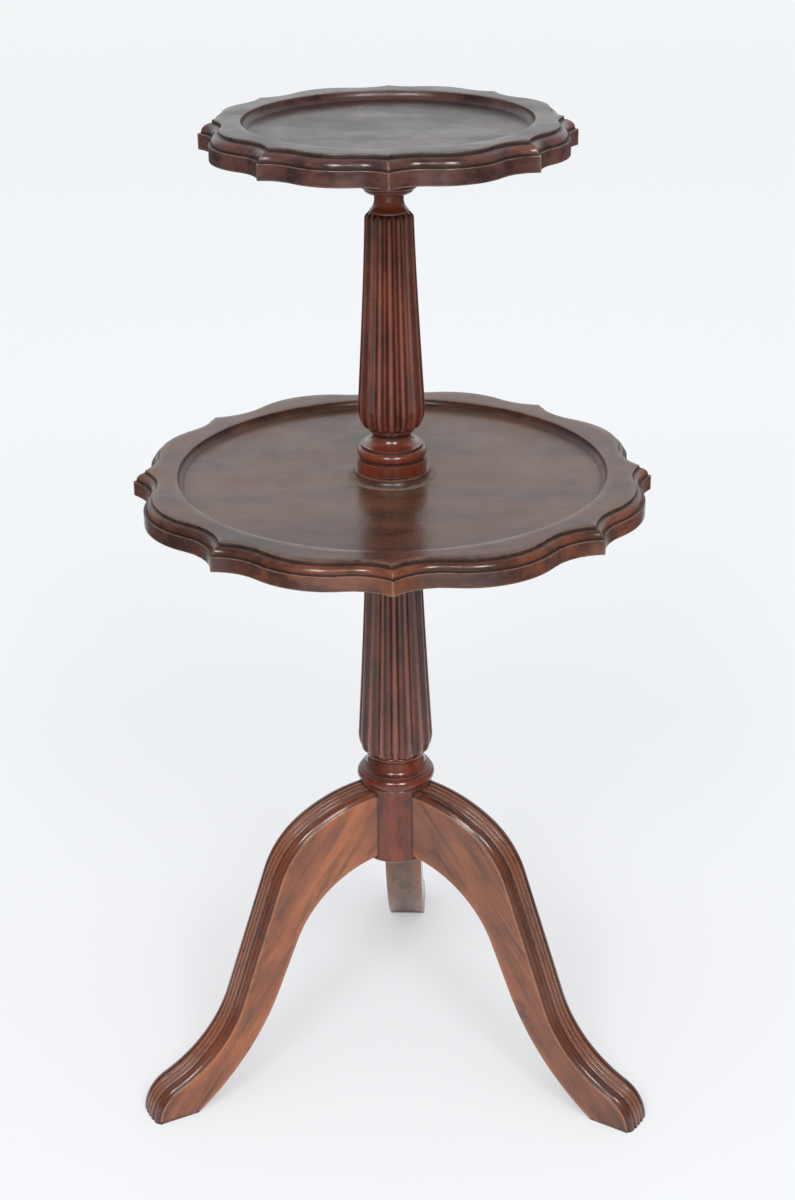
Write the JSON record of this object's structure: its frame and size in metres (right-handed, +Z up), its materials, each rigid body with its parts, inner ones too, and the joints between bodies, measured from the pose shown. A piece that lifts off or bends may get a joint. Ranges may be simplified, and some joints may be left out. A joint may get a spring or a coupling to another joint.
{
  "type": "side table",
  "caption": "Two-tier tripod side table with scalloped, dished round trays on a turned and reeded pillar and moulded cabriole legs, in dark polished mahogany",
  "frame": {"origin": "on the floor, under the axis of the pillar", "axes": "+Z up along the pillar; -Y is the front, the side the picture was taken from, between the two front legs; +X to the right seen from the front"},
  "size_m": [0.475, 0.4983, 0.914],
  "materials": {
    "tray_wood": "dark polished mahogany, worn to a lighter brown on the dish floor",
    "turned_wood": "dark polished mahogany, turned and reeded",
    "leg_wood": "polished mahogany, warmer on the sawn sides",
    "hidden_wood": "dull stained mahogany, unpolished",
    "screw_steel": "dull wood screws"
  },
  "bodies": {
    "root": {"lower_column": "turned_wood", "upper_column": "turned_wood", "lower_tray": "tray_wood", "upper_tray": "tray_wood", "leg_rear": "leg_wood", "leg_front_left": "leg_wood", "leg_front_right": "leg_wood", "tray_boss": "hidden_wood", "cleat_left": "hidden_wood", "cleat_right": "hidden_wood", "cleat_screws": "screw_steel", "boss_screws": "screw_steel"}
  },
  "joints": []
}
